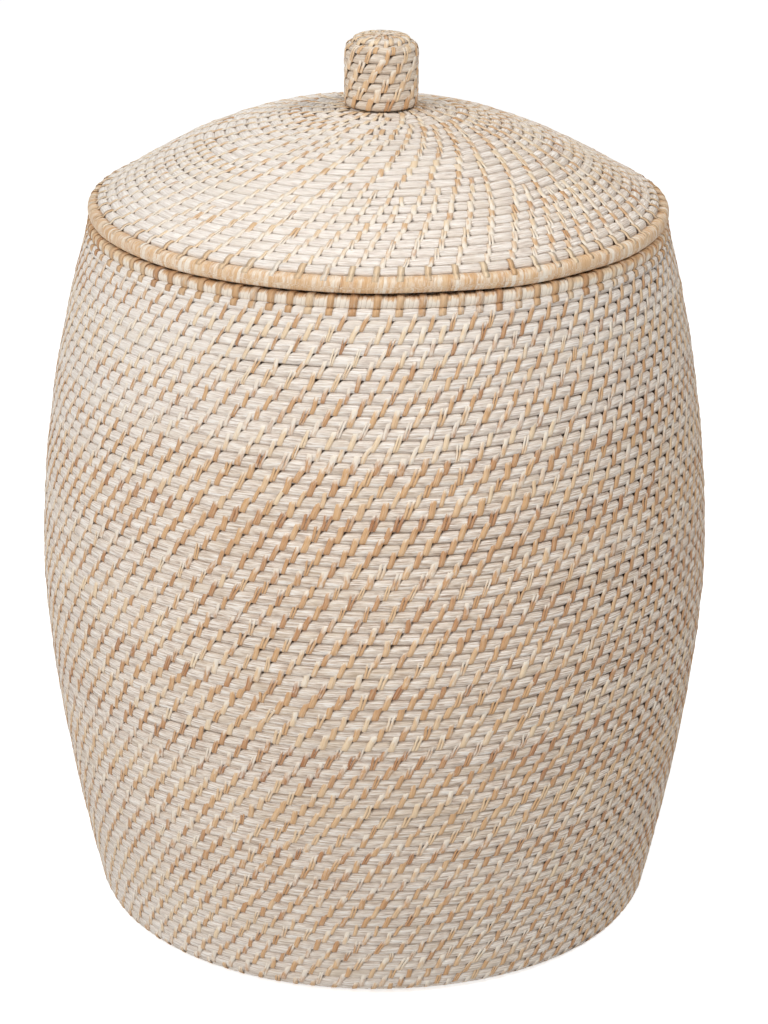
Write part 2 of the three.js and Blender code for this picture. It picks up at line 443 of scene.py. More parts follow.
    def core(self, soup, j0, j1):
        """The core of turns j0 to j1, as one capped tube."""
        lo = TAU * j0 - (TAU * CLIMB if self.taper_start and j0 == 0 else 0)
        hi = TAU * j1
        phi, tilt, bead, near, pit, pale = self.rings(lo, hi)
        th = BACK + phi * self.side
        s = self.level(phi)[0]
        r0 = self.mer.radius(s)
        pit = pit * self.pits(th, r0)
        fade = np.minimum(1, np.minimum(phi - lo, hi - phi) * 40)
        sa, sb = section(self.flat)
        ha = self.pitch / 2 * self.squeeze
        puff, seam = self.puff(th), self.seam(th)
        body = 1 + (0.06 * bead + 0.045 + puff) * (1 - near) - 0.07 * near
        a = sa[None] * ha * (1 - 0.05 * near[:, None] * np.abs(sb)[None])
        groove = np.abs(sa) ** 5 * (PSI < 1.75)
        b = sb[None] * self.half * body[:, None] - seam[:, None] * groove[None]
        # Each stitch pulls the two rows together and leaves a small gap beside it, at the edge
        # where it crosses to the next row.
        down = np.where(PSI < 1.75, (1 - sa) * ha / (0.50 * self.pitch), 0.6)
        dent = np.clip(pit[:, None] * 1.25 - down[None], 0, 1) * (PSI < 2.6)[None]
        b = b - 2.9 * dent ** 0.8 * np.minimum(1, self.half / 3)
        a = a - 0.9 * dent * np.minimum(1, self.half / 3)
        back_lean = np.interp(PSI, np.radians([96, 264]), [1, -1])
        lean_at = np.where(np.abs(PSI) < 1.7, sa, back_lean)
        along = tilt[:, None] * ha * lean_at[None] * fade[:, None]
        co = self.place(phi[:, None] + 0 * a, along, a, b)
        cols = len(phi)
        quads = tube_quads(cols, len(PSI))
        dist = np.cumsum(np.concatenate([[0], np.diff(phi) * r0[1:]]))
        around = np.arange(len(PSI)) * 2.1
        turn = np.floor(phi / TAU)[:, None]
        lay = np.stack([dist[:, None] + along, around[None] + turn * 37.7, 0 * a + turn], -1)
        # Painted shade lies in the grooves between the turns, in the small holes beside the stitches and
        # on the lower half of each turn.
        side = np.clip(1 - np.abs(sb), 0, 1) ** 1.5
        field = self.white(th, s) + 0 * phi
        groove_shade = 0.98 - 0.3 * np.clip(field, 0, 1)
        lower = np.clip(-sa * 1.5, 0, 1) * (sb > 0)
        lower_shade = self.lower_half_shade(th)[:, None] * lower[None]
        deep = np.maximum(groove_shade[:, None] * side[None], lower_shade) + 1.5 * dent + 0.05 * near[:, None]
        # The place before each stitch catches more white wash; the white field adds painted light on the
        # lit side.
        under = np.clip(-sa * 1.3, 0, 1) * (sb > 0)
        pale = 0.5 * pale[:, None] * under[None] + 0.75 * field[:, None]
        back = np.repeat((sb < -0.2)[None].astype(float), cols, 0)
        # Each quarter turn is a band across the bake map.
        quarter = (phi - lo) / (TAU / 4)
        bands = max(1, math.ceil((hi - lo) / (TAU / 4) - 1e-6))
        uv = tube_uvs(quarter[:-1], quarter[1:], len(PSI), bands, *CORE_MAP)
        tone = np.repeat(bead[:, None] + self.stain, len(PSI), 1)
        soup.add(co, quads, uv, 0, lay=lay, deep=np.clip(deep, 0, 1), tone=tone, wash=back, mid=pale)
        self.caps(soup, co, lay)

    def piece(self, name, j0, j1, aside=0.0):
        """Turns j0 to j1 with their stitches, as one object that stands aside by so many mm."""
        soup = Soup()
        self.core(soup, j0, j1)
        self.stitches(soup, j0, j1)
        soup.co = [c + np.array([aside, 0, 0]) for c in soup.co]
        return soup.mesh(name, [cane, peel])

    def caps(self, soup, co, lay):
        """Close both ends of a core."""
        m = co.shape[1]
        facing = np.array([[i, i + 1, m - 2 - i, m - 1 - i] for i in range(m // 2 - 1)])
        for c, q in ((0, facing), (-1, facing[:, ::-1])):
            uv = np.zeros((len(q), 4, 2))       # the faces are hidden, so they need no room
            soup.add(co[c], q, uv, 0, lay=lay[c], deep=np.ones(m), tone=np.full(m, 0.5))

    def stitches(self, soup, j0, j1):
        """The stitches of turns j0 to j1, each a closed flat strip round the core."""
        last = self.turns - 1 if self.rim_binds else self.turns
        pick = np.where((self.phi >= TAU * j0) & (self.phi < TAU * min(j1, last)))[0]
        jobs = []
        for i in pick:
            w = self.wide[i]
            if self.split[i]:
                jobs += [(i, -0.27 * w, 0.46 * w, -1), (i, 0.27 * w, 0.46 * w, 1)]
            else:
                jobs.append((i, 0.0, w, 0))
        if not jobs:
            return
        ii, shift, wide, part = (np.array(v) for v in zip(*jobs))
        k = self.pitch / PITCH
        ha = self.pitch / 2
        hb = self.half
        t = PEEL * min(1, hb / 3.4)
        far = ha + self.reach * self.pitch      # where the stitch goes into the next row
        # The path round the core: up the wall, outward, and how far along the way back it is.
        path = np.array([
            (far + 0.5 * k, hb * 0.72, 0.0), (far + 0.1 * k, hb * 0.93 - t * 0.1, 0.0),
            (far - 0.8 * k, hb * 0.98 + t * 0.15, 0.0),
            (ha + 0.3 * self.reach * self.pitch, hb * 0.95 + t * 0.35, 0.0),
            (ha - 0.9 * k, hb * 0.92 + t * 0.4, 0.0), (0.9 * k, hb * 0.96 + t * 0.45, 0.0),
            (-0.9 * k, hb * 0.97 + t * 0.45, 0.0), (-2.3 * k, hb * 0.93 + t * 0.45, 0.0),
            (-3.25 * k, hb * 0.74 + t * 0.4, 0.0), (-3.8 * k, hb * 0.32, 0.0), (-3.5 * k, -hb * 0.5, 0.3),
            (-2.2 * k, -hb * 0.95 - t / 2, 0.5), (0.8 * k, -hb * 1.0 - t / 2, 0.65),
            (ha, -hb * 0.92 - t / 2, 0.8), (far - 0.9 * k, -hb * 1.0 - t / 3, 0.95),
            (far + 0.2 * k, -hb * 0.6, 1.0)])
        n, m = len(ii), len(path)
        a, b, ret = path[:, 0], path[:, 1], path[:, 2]
        rng = self.rng
        lift = 1 + rng.normal(0, 0.02, n)
        tilt = self.tilt[ii] + 0.03 * part      # the halves of a split strip spread a little
        hook = rng.normal(0, 0.5, n)
        along = (tilt[:, None] * a[None] * (1 - ret[None]) + tilt[:, None] * far * ret[None]
                 + self.jump[ii][:, None] + shift[:, None]
                 + hook[:, None] * np.clip(a[None] / ha - 0.5, 0, 1) * (ret[None] < 0.1))
        up = np.repeat(a[None], n, 0) + rng.normal(0, 0.12, n)[:, None]
        # Directions along the strip, out of its face and across it, in (along, up, outward).
        line = np.stack([along, up, b[None] * lift[:, None]], -1)
        ahead = np.gradient(line, axis=1)
        ahead /= np.linalg.norm(ahead, axis=2, keepdims=True)
        face = np.stack([np.zeros((n, m)), ahead[:, :, 2], -ahead[:, :, 1]], -1)
        face /= np.maximum(np.linalg.norm(face, axis=2, keepdims=True), 1e-6)
        cross = np.cross(ahead, face)
        pinch = np.array([0.6, 0.85, 0.97, 1, 1, 1, 1, 1, 0.95, 0.85, 0.9, 1, 1, 1, 0.85, 0.6])
        sx = np.array([-0.5, 0.5, 0.47, 0.0, -0.47])
        sh = np.array([-0.5, -0.5, 0.42, 0.54, 0.42]) * t
        half_w = wide[:, None] * pinch[None]
        skin = (line[:, :, None] + cross[:, :, None] * (half_w[:, :, None] * sx)[..., None]
                + face[:, :, None] * sh[:, None])
        phi = self.phi[ii][:, None, None] + 0 * skin[..., 0]
        co = self.place(phi, skin[..., 0], skin[..., 1], skin[..., 2])
        arc = np.cumsum(np.concatenate([[0], np.hypot(np.diff(a), np.diff(b))]))
        # Painted shade where the strip runs in between the rows and along its edges.
        inside = np.array([.3, .1, 0, 0, .05, 0, 0, .08, .3, .9, .5, .2, .1, .2, .5, 1.0])
        edge = np.array([0.5, 0.5, 0.12, 0, 0.12])
        deep = np.clip(inside[:, None] + edge[None], 0, 1)
        mid = (np.clip(up / far, 0, 1) * (ret < 0.1))[:, :, None]
        across = wide[:, None, None] * sx + shift[:, None, None]
        add_strips(soup, 1, co, across, arc, ii * 1.37, deep, STITCH_MAP,
                   tone=self.tone[ii][:, None, None], wash=self.wash[ii][:, None, None], mid=mid)


# ---- wrapped rods of the two rims ------------
class Rod:
    """A rounded rod in a level circle, wrapped edge to edge in strips of peel.

    strip: width of a wrap. relief: how rounded the wraps are. nicks: share of wraps that part.
    groove: how much shade is painted between two wraps. power: how square the section is, 1 for round.
    wave: how far the rod wanders up and down, mm. tone: how fair the peel is, 0 to 1.
    """

    def __init__(self, radius, z, half_r, half_z, rng, strip, relief, power, wave, tone,
                 nicks=0.0, groove=0.75):
        self.radius, self.z, self.hr, self.hz, self.rng = radius, z, half_r, half_z, rng
        self.relief, self.nicks, self.groove, self.power, self.wave = relief, nicks, groove, power, wave
        count = int(TAU * radius / strip)
        cut = rng.uniform(0.75, 1.25, count)
        self.cut = np.concatenate([[0], np.cumsum(cut)]) / cut.sum() * TAU
        run = np.cumsum(rng.random(count) < 1 / 60)
        self.tone = np.clip(rng.normal(tone, 0.12, run.max() + 1)[run] + rng.normal(0, 0.08, count), 0, 1)
        wash = np.minimum(rng.beta(0.8, 4, run.max() + 1), 0.4)[run] + rng.normal(0, 0.08, count)
        self.wash = np.clip(wash + 0.25 * (rng.random(count) < 0.05), 0, 1)
        self.high = rng.normal(0, 0.07, count) * relief
        self.sway = Wander(rng, 9, 14, 1e6)

    def build(self, soup, mat, wash_outside=0.0):
        m = 16
        psi = np.arange(m) * TAU / m
        # Across one wrap: groove, shoulder, crown, shoulder.
        cross = np.array([0.03, 0.12, 0.5, 0.88])
        rise = np.array([-0.24, 0.0, 0.13, 0.0]) * self.relief
        nick = self.rng.random(len(self.cut) - 1) < self.nicks
        w = np.diff(self.cut)
        phi = (self.cut[:-1, None] + w[:, None] * cross[None]).ravel()
        lift = (rise[None] + self.high[:, None]).ravel()
        n = len(phi)
        sw = 0.5 * self.sway(phi, 0 * phi)
        # Here and there two wraps part on the lower half of the outer face.
        gap = np.outer(np.stack([nick, 0 * nick, 0 * nick, 0 * nick], 1).ravel(),
                       (np.cos(psi) > 0.3) & (np.sin(psi) < 0.25)).astype(float)
        c, s = np.cos(psi), np.sin(psi)
        c, s = signed_power(c, self.power), signed_power(s, self.power)
        r = self.radius + (self.hr + lift)[:, None] * c[None] - 1.1 * gap
        z = self.z + (self.hz + lift)[:, None] * s[None] + self.wave * sw[:, None]
        th = BACK + phi[:, None] + 0.8 / self.radius * np.sin(psi)[None]
        co = np.stack([r * np.cos(th), r * np.sin(th), z], -1)
        quads = tube_quads(n, m, True)
        blank = 0 * r
        own = np.repeat(np.arange(len(w)), 4)[:, None] * 1.37
        lay = np.stack([(phi * self.radius)[:, None] + blank, psi * self.hr + blank, own + blank], -1)
        # Painted shade in the grooves between wraps and in the gaps where two wraps part.
        shade = np.tile([self.groove, 0.1, 0, 0.1], len(w))
        deep = np.clip(shade[:, None] + 1.4 * gap, 0, 1)
        tone = np.repeat(self.tone, 4)[:, None] + blank
        low = np.clip(0.65 - np.sin(psi), 0, 1) * (np.cos(psi) > -0.5)
        wash = np.clip(np.repeat(self.wash, 4)[:, None] + wash_outside * low, 0, 1)
        bands = 16
        part = phi / TAU * bands
        uv = tube_uvs(part, np.append(part[1:], bands), m, bands, 0.0, 1.0) * np.array([1, 0.8])
        soup.add(co, quads, uv, mat, lay=lay, deep=deep, tone=tone, wash=wash)


def strap(soup, mat, phis, path, wide, thick, tone, wash, skew, edge=0.35):
    """Flat peel strips laid along a path of (r, z) points at each angle in phis.

    skew: sideways run for each mm along the path. edge: how much shade is painted on the strips' edges.
    """
    path = np.asarray(path, float)
    n, m = len(phis), len(path)
    ahead = np.gradient(path, axis=0)
    ahead /= np.linalg.norm(ahead, axis=1, keepdims=True)
    face = np.column_stack([ahead[:, 1], -ahead[:, 0]])
    sx = np.array([-0.5, 0.5, 0.46, 0.0, -0.46])
    sh = np.array([-0.5, -0.5, 0.34, 0.6, 0.34]) * thick
    arc = np.cumsum(np.concatenate([[0], np.hypot(*np.diff(path, axis=0).T)]))
    pinch = np.ones(m)
    pinch[0] = pinch[-1] = 0.7
    x = wide[:, None, None] * pinch[None, :, None] * sx[None, None]
    r = path[:, None, 0] + face[:, None, 0] * sh + 0 * x
    z = path[:, None, 1] + face[:, None, 1] * sh + 0 * x
    lean = skew * (arc - arc.mean())[None, :, None]
    th = BACK + phis[:, None, None] + (x + lean) / np.maximum(path[:, 0].mean(), 1)
    co = np.stack([r * np.cos(th), r * np.sin(th), z], -1)
    # Painted shade at both ends of each strip and along its edges.
    end_shade = np.array([0.5] + [0.05] * (m - 2) + [0.5])
    deep = np.clip(end_shade[:, None] + np.array([edge, edge, .05, 0, .05]), 0, 1)
    add_strips(soup, mat, co, x, arc, np.arange(n) * 2.17, deep, STRAP_MAP,
               tone=tone[:, None, None], wash=wash[:, None, None])


def over_rod(radius, z, half_r, half_z, power, degrees, lift):
    """Points (r, z) round a rod of rounded section, each lifted off it by its own amount."""
    return [(radius + (half_r + d) * signed_power(math.cos(q), power),
             z + (half_z + d) * signed_power(math.sin(q), power))
            for q, d in zip(np.radians(degrees), lift)]


# ---- materials -------------------------------
class Nodes:
    """A material and short ways to add nodes to it."""

    def __init__(self, name):
        self.mat = bpy.data.materials.new(name)
        self.mat.use_nodes = True
        self.t = self.mat.node_tree
        self.out = self.t.nodes["Principled BSDF"]

    def put(self, socket, v):
        if isinstance(v, bpy.types.NodeSocket):
            self.t.links.new(v, socket)
        else:
            socket.default_value = v

    def attr(self, name, socket="Fac"):
        n = self.t.nodes.new("ShaderNodeAttribute")
        n.attribute_name = name
        return n.outputs[socket]

    def noise(self, vec, scale, detail=3.0, rough=0.55):
        n = self.t.nodes.new("ShaderNodeTexNoise")
        n.inputs["Scale"].default_value = scale
        n.inputs["Detail"].default_value = detail
        n.inputs["Roughness"].default_value = rough
        self.t.links.new(vec, n.inputs["Vector"])
        return n.outputs["Fac"]

    def stretch(self, vec, x, y, z):
        n = self.t.nodes.new("ShaderNodeVectorMath")
        n.operation = "MULTIPLY"
        self.t.links.new(vec, n.inputs[0])
        n.inputs[1].default_value = (x, y, z)
        return n.outputs[0]

    def math(self, op, a, b=0.0, c=0.0, clamp=False):
        n = self.t.nodes.new("ShaderNodeMath")
        n.operation = op
        n.use_clamp = clamp
        for i, v in enumerate((a, b, c)):
            self.put(n.inputs[i], v)
        return n.outputs[0]

    def bump(self, height, strength, distance):
        n = self.t.nodes.new("ShaderNodeBump")
        self.t.links.new(height, n.inputs["Height"])
        n.inputs["Strength"].default_value = strength
        n.inputs["Distance"].default_value = distance
        self.t.links.new(n.outputs[0], self.out.inputs["Normal"])

    def past(self, a, b, gain):
        """How far a is past b, times gain, held from 0 to 1."""
        return self.math("MULTIPLY", self.math("SUBTRACT", a, b, clamp=True), gain, clamp=True)

    def ramp(self, fac, stops):
        n = self.t.nodes.new("ShaderNodeValToRGB")
        self.t.links.new(fac, n.inputs[0])
        e = n.color_ramp.elements
        while len(e) < len(stops):
            e.new(0.5)
        for el, (p, c) in zip(e, stops):
            el.position = p
            el.color = (*c, 1) if len(c) == 3 else c
        return n.outputs[0]

    def mix(self, fac, a, b):
        n = self.t.nodes.new("ShaderNodeMix")
        n.data_type = "RGBA"
        self.put(n.inputs["Factor"], fac)
        for s, v in ((n.inputs[6], a), (n.inputs[7], b)):
            self.put(s, v if isinstance(v, bpy.types.NodeSocket) else (*v, 1))
        return n.outputs[2]


def srgb(r, g, b):
    return tuple(((c / 255 + 0.055) / 1.055) ** 2.4 if c > 10 else c / 255 / 12.92 for c in (r, g, b))


def cane_material():
    """Split rattan core with white wash rubbed in: pale, with fine fibres along the turn."""
    m = Nodes("limed_cane")
    lay = m.attr("lay", "Vector")
    deep = m.attr("deep")
    tone = m.attr("tone")
    wash = m.attr("wash")
    pale = m.attr("mid")
    fine = m.noise(m.stretch(lay, 0.07, 1.05, 1.0), 1.0, 4, 0.62)
    thin = m.noise(m.stretch(lay, 0.09, 1.7, 1.3), 1.0, 3, 0.6)
    broad = m.noise(m.stretch(lay, 0.05, 0.4, 1.0), 1.0, 2, 0.5)
    patch = m.noise(m.stretch(lay, 0.02, 0.05, 0.7), 1.0, 2, 0.5)
    body = m.ramp(fine, [(0.36, srgb(150, 120, 98)), (0.44, srgb(204, 183, 164)),
                         (0.52, srgb(233, 219, 204)), (0.61, srgb(252, 247, 240))])
    soft = m.ramp(broad, [(0.3, srgb(206, 186, 166)), (0.6, srgb(242, 232, 221))])
    col = m.mix(0.24, body, soft)
    col = m.mix(m.past(patch, 0.5, 1.8), col, srgb(205, 183, 154))
    col = m.mix(m.math("MULTIPLY", m.past(0.405, thin, 7.0), 0.8), col, srgb(138, 104, 80))
    col = m.mix(m.past(tone, 0.6, 0.35), col, srgb(206, 188, 164))
    # Whiter where the wash gathers, and painted light on the lit side.
    col = m.mix(m.math("MULTIPLY", pale, 0.62), col, srgb(244, 240, 235))
    # Painted shade, dark brown, in the grooves, the holes and the lower halves of the turns.
    painted_shade = m.ramp(deep, [(0.25, (0, 0, 0)), (0.62, (0.3, 0.3, 0.3)), (1.0, (1, 1, 1))])
    col = m.mix(m.math("MULTIPLY", painted_shade, 0.9), col, srgb(82, 56, 38))
    col = m.mix(m.math("MULTIPLY", wash, 0.5), col, srgb(206, 182, 148))
    m.t.links.new(col, m.out.inputs["Base Color"])
    m.t.links.new(m.ramp(fine, [(0.3, (0.9,) * 3), (0.7, (0.72,) * 3)]), m.out.inputs["Roughness"])
    m.out.inputs["Specular IOR Level"].default_value = 0.25
    h = m.math("ADD", m.math("MULTIPLY", fine, 0.7), m.math("MULTIPLY", broad, 0.5))
    m.bump(h, 0.85, 0.001)
    return m.mat


def peel_material(name, wash_gain):
    """Rattan peel: tan to honey, faint lengthwise fibre, whitewash left in patches."""
    m = Nodes(name)
    lay = m.attr("lay", "Vector")
    deep = m.attr("deep")
    tone = m.attr("tone")
    wash = m.attr("wash")
    fibre = m.noise(m.stretch(lay, 1.4, 0.09, 1.0), 1.0, 4, 0.62)
    patch = m.noise(m.stretch(lay, 0.5, 0.16, 0.8), 1.0, 3, 0.6)
    col = m.ramp(tone, [(0.0, srgb(168, 116, 78)), (0.3, srgb(189, 141, 99)),
                        (0.6, srgb(209, 167, 122)), (1.0, srgb(230, 206, 173))])
    col = m.mix(m.past(fibre, 0.46, 1.5), col, srgb(238, 216, 182))
    col = m.mix(m.math("MULTIPLY", m.past(0.44, fibre, 5.0), 0.6), col, srgb(146, 98, 64))
    far = m.attr("mid")
    lime = m.math("ADD", patch, m.math("MULTIPLY", wash, 0.42 * wash_gain))
    lime = m.math("ADD", lime, m.math("MULTIPLY", m.math("MULTIPLY", far, far), 0.42))
    col = m.mix(m.math("MULTIPLY", m.past(lime, 0.74, 3.4), 0.86), col, srgb(238, 229, 215))
    # Painted shade, brown, where the strip turns in between the rows and along its edges.
    painted_shade = m.ramp(deep, [(0.3, (0, 0, 0)), (1.0, (1, 1, 1))])
    col = m.mix(m.math("MULTIPLY", painted_shade, 0.6), col, srgb(120, 78, 48))
    m.t.links.new(col, m.out.inputs["Base Color"])
    m.t.links.new(m.ramp(patch, [(0.3, (0.5,) * 3), (0.7, (0.68,) * 3)]), m.out.inputs["Roughness"])
    m.out.inputs["Specular IOR Level"].default_value = 0.35
    m.bump(fibre, 0.4, 0.0004)
    return m.mat


cane = cane_material()
peel = peel_material("peel", 1.0)
rim_peel = peel_material("rim_peel", 1.9)

# ---- basket ----------------------------------
HALF_WALL = 4.25            # the core's middle lies this far inside the CAD surface


def wall_centre_line():
    """Middle of the wall from just above the foot to the rim, from the CAD courses."""
    o = np.array([corner for n in WALLS + ["collar_coil"] for corner in ends(n)])
    t = np.array([o[min(i + 1, len(o) - 1)] - o[max(i - 1, 0)] for i in range(len(o))])
    t /= np.linalg.norm(t, axis=1, keepdims=True)
    return np.column_stack([o[:, 0] - HALF_WALL * t[:, 1], o[:, 1] + HALF_WALL * t[:, 0]])


def base_centre_line():
    """Middle of the base from its centre out, from the CAD courses."""
    pts = []
    for n in BASES:
        p = rz(n)
        for r in (p[:, 0].min(), p[:, 0].max()):
            z = p[np.abs(p[:, 0] - r) < 0.3][:, 1]
            pts.append((r, (z.min() + z.max()) / 2))
    return np.array(pts)


wall = wall_centre_line()
base = base_centre_line()
FOOT_Z = 4.6                # middle of the foot turn, whose stitches touch the floor
FILLET = 4.0                # radius of the turn from the base to the wall
first_run = wall[1] - wall[0]
foot_r = wall[0, 0] + (FOOT_Z + FILLET - wall[0, 1]) * first_run[0] / first_run[1]
arc = [(foot_r - FILLET + FILLET * math.sin(q), FOOT_Z + FILLET - FILLET * math.cos(q))
       for q in np.radians([0, 20, 40, 60, 80, 90])]
base_in = base[base[:, 0] < foot_r - 22]
curve = np.concatenate([[[0.0, base[0, 1]]], base_in[1:], [[foot_r - 12, FOOT_Z + 0.5]], arc,
                        wall[wall[:, 1] > 14]])
mer = Meridian(curve, 5.0)

PRESSED = 1.9               # how far the last turn of the wall is pressed into the rim
top_s = mer.s_at_height(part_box("mouth_rim")[0][2] / MM - 0.4) + PRESSED
rows = round(top_s / PITCH)
pitch = top_s / rows


def basket_shape(angle, s):
    """The barrel is a little out of round."""
    up = np.clip((s - 200) / 250, 0, 1) * np.clip((top_s - s) / 120, 0, 1)
    return 1.5 * up * np.cos(2 * angle + 0.8) + 0.9 * up * np.cos(3 * angle + 2.0)


def basket_white(th, s):
    """Painted light on the left of the wall, where the light falls, and more of the wash left round its
    top and near the floor.
    """
    upper = 0.6 + 0.4 * np.clip((s - 300) / 250, 0, 1)
    side = np.clip(-np.cos(th + 0.15) * 1.25 - 0.2, 0, 1) * upper
    low, high = np.clip((330 - s) / 130, 0, 1), np.clip((s - top_s + 150) / 130, 0, 1)
    return np.clip(0.85 * side + 0.3 * low + 0.7 * high, 0, 1)


WALL_STITCHES = 93          # in each turn, as many as the photograph's spacing gives
rng = np.random.default_rng(20)
# The lower half of each turn gets painted shade, strongest on the right.
lay_up = Weave(mer, rows, pitch, lambda r, s: 11.5 + 4.2 * min(1, r / 100), 6.3, 0.34, 3.6, rng,
               reach=0.56, rim_binds=True, fixed=(178, WALL_STITCHES),
               shape=basket_shape, white=basket_white,
               pits=lambda th, r: 0.83 + 0.55 * np.cos(th),
               lower_half_shade=lambda th: np.clip(0.16 + 0.68 * np.cos(th - 0.1), 0, 1),
               puff=lambda th: 0.08 * np.clip(np.cos(th), 0, 1),
               seam=lambda th: 2.1 * np.clip(0.1 + np.cos(th), 0, 1))


def row_at(z):
    return round(mer.s_at_height(z) / pitch)


# Each CAD course becomes whole turns of the spiral, from first to last.
foot_row = row_at(ends(WALLS[0])[0][1]) - 1
marks = ([0] + [round(ends(n)[1][0] / pitch) for n in BASES[:-1]] + [foot_row, foot_row + 1]
         + [row_at(ends(n)[1][1]) for n in WALLS] + [rows])
courses = BASES + ["foot_coil"] + WALLS + ["collar_coil"]
cuts = {n: (marks[k], marks[k + 1]) for k, n in enumerate(courses)}

for n, (j0, j1) in cuts.items():
    ob = lay_up.piece(n.replace("_coil", "_weave"), j0, j1)
    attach(ob, "basket")
    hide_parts(n)

# ---- mouth rim -------------------------------
RIM_POWER = 0.76            # how square the rod's section is, 1 for round
lo, hi = (np.array(v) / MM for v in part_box("mouth_rim"))
rim_hz, rim_hr = (hi[2] - lo[2]) / 2, np.ptp(rz("mouth_rim")[:, 0]) / 2
rim_z, rim_r = (lo[2] + hi[2]) / 2, rz("mouth_rim")[:, 0].max() - rim_hr
soup = Soup()
rod = Rod(rim_r, rim_z - 0.35, rim_hr - 0.4, rim_hz - 0.35, rng, 3.0, relief=0.7, power=RIM_POWER,
          wave=0.15, tone=0.72)
rod.build(soup, 0, wash_outside=0.9)
# Ties bind the rod to the last turn of the wall: over the rod, then down the wall's face.
nlast = len(lay_up.rows[-1])
last = (lay_up.rows[-1] + lay_up.tilt[-nlast:] * pitch / 2 / rim_r) % TAU
over = over_rod(rim_r, rim_z - 0.2, rim_hr, rim_hz, RIM_POWER,
                [165, 130, 100, 72, 46, 20, -6, -30, -50], [0.1] * 9)
wr, wz, wtr, wtz = mer.at(top_s - pitch * np.array([0.22, 0.42, 0.56, 0.64, 0.70]))
out = np.array([3.9, 3.95, 3.8, 3.4, 2.2])
down = list(zip(wr + out * wtz, wz - out * wtr))
strap(soup, 1, last, over + down, rng.normal(4.6, 0.45, nlast), 0.6,
      np.clip(rng.normal(0.63, 0.16, nlast), 0, 1), np.clip(rng.beta(1.4, 2.6, nlast), 0, 1), -0.10)
ob = soup.mesh("mouth_rim_wrapped", [rim_peel, peel])
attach(ob, "basket")
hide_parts("mouth_rim")

# ---- lid -------------------------------------
def lid_centre_line():
    """Middle of the dome from its centre out, from the top of the CAD courses."""
    pts = []
    for n in reversed(LIDS):
        p = rz(n)
        for r in sorted({round(v, 1) for v in p[:, 0]}):
            z = p[np.abs(p[:, 0] - r) < 0.2][:, 1]
            pts.append((r, z.max()))
    pts = np.array(sorted(pts))
    pts = pts[np.concatenate([[True], np.diff(pts[:, 0]) > 1])]
    rr = np.arange(0, pts[-1, 0] + 3.0, 2.0)
    zz = np.interp(rr, pts[:, 0], pts[:, 1])
    slope = np.gradient(zz, rr)
    nn = np.hypot(1, slope)
    return np.column_stack([rr + HALF_WALL * slope / nn, zz - HALF_WALL / nn])


line = lid_centre_line()
line = line[(line[:, 0] >= 0)]
line = np.concatenate([[[0, line[0, 1]]], line[line[:, 0] > 1]])
lid_mer = Meridian(line, 14.0)
lid_len = lid_mer.length
lid_rows = round((lid_len + 0.5) / PITCH)
lid_pitch = (lid_len + 0.5) / lid_rows


def lid_shape(angle, s):
    """The dome is a little uneven."""
    fade = np.clip((s - 60) / 60, 0, 1) * np.clip((lid_len - s) / 60, 0, 1)
    return 1.2 * np.cos(2 * angle + 1.1) * fade


def lid_pits(th, r):
    """Small holes: deepest round the knob's foot, and on the right."""
    by_side = 1 + np.cos(th - 0.2) * np.interp(r, [30, 60], [0.3, 1])
    return np.interp(r, [34, 56, 95], [1.9, 1.2, 0.72]) * np.clip(by_side, 0.3, 2)


def lid_white(th, s):
    """Painted light on the left of the lid, where the light falls; none in its first turns."""
    return np.clip(0.74 - 0.36 * np.cos(th), 0, 1) * np.clip((s - 14) / 36, 0, 1)


rng = np.random.default_rng(31)
lid_up = Weave(lid_mer, lid_rows, lid_pitch, lambda r, s: 10.5 + 5.0 * min(1, r / 115), 4.2, 0.27,
               4.0, rng, side=-1, reach=0.36, rim_binds=True, lime=0.1, fair=0.2,
               shape=lid_shape, pits=lid_pits, white=lid_white,
               puff=lambda th: 0.15 * np.clip(np.cos(th), 0, 1),
               seam=lambda th: 1.3 * np.clip(np.cos(th), 0, 1))
inner = [rz(n)[:, 0].max() for n in reversed(LIDS)][:-1]
edges = ([0] + [round(float(np.interp(r, lid_mer.r, lid_mer.s)) / lid_pitch) for r in inner]
         + [lid_rows])
for k, n in enumerate(reversed(LIDS)):
    ob = lid_up.piece(n.replace("_coil", "_weave"), edges[k], edges[k + 1])
    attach(ob, "lid")
    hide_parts(n)

# ---- lid rim ---------------------------------
LID_RIM_POWER = 0.85
lo, hi = (np.array(v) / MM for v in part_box("lid_rim"))
lrim_hz, lrim_hr = (hi[2] - lo[2]) / 2, np.ptp(rz("lid_rim")[:, 0]) / 2
lrim_z, lrim_r = (lo[2] + hi[2]) / 2 + 0.25, rz("lid_rim")[:, 0].max() - lrim_hr
soup = Soup()
rod = Rod(lrim_r, lrim_z, lrim_hr - 0.25, lrim_hz - 0.55, rng, 2.7, relief=0.32, nicks=0.03,
          groove=0.3, power=LID_RIM_POWER, wave=0.8, tone=0.62)
rod.build(soup, 0)
# Ties run out over the last turn of the dome and sink in among the rod's own wraps.
nlast = len(lid_up.rows[-1])
last = (lid_up.rows[-1] + lid_up.tilt[-nlast:] * 2 / lrim_r) % TAU
wr, wz, wtr, wtz = lid_mer.at(lid_len - lid_pitch * np.array([1.10, 1.0, 0.86, 0.6, 0.35, 0.12]))
out = np.array([0.8, 2.6, 3.7, 3.95, 3.95, 3.6])
up = list(zip(wr - out * wtz, wz + out * wtr))
over = over_rod(lrim_r, lrim_z, lrim_hr - 0.1, lrim_hz - 0.4, LID_RIM_POWER,
                [96, 78, 62, 48, 36, 24], [0.28, 0.2, 0.1, 0.0, -0.12, -0.6])
strap(soup, 0, -last, up + over, rng.normal(3.9, 0.4, nlast), 0.22,
      np.clip(rng.normal(0.86, 0.1, nlast), 0, 1), np.clip(rng.beta(1.0, 4, nlast), 0, 1), -0.12,
      edge=0.0)
ob = soup.mesh("lid_rim_wrapped", [rim_peel, peel])
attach(ob, "lid")
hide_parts("lid_rim")

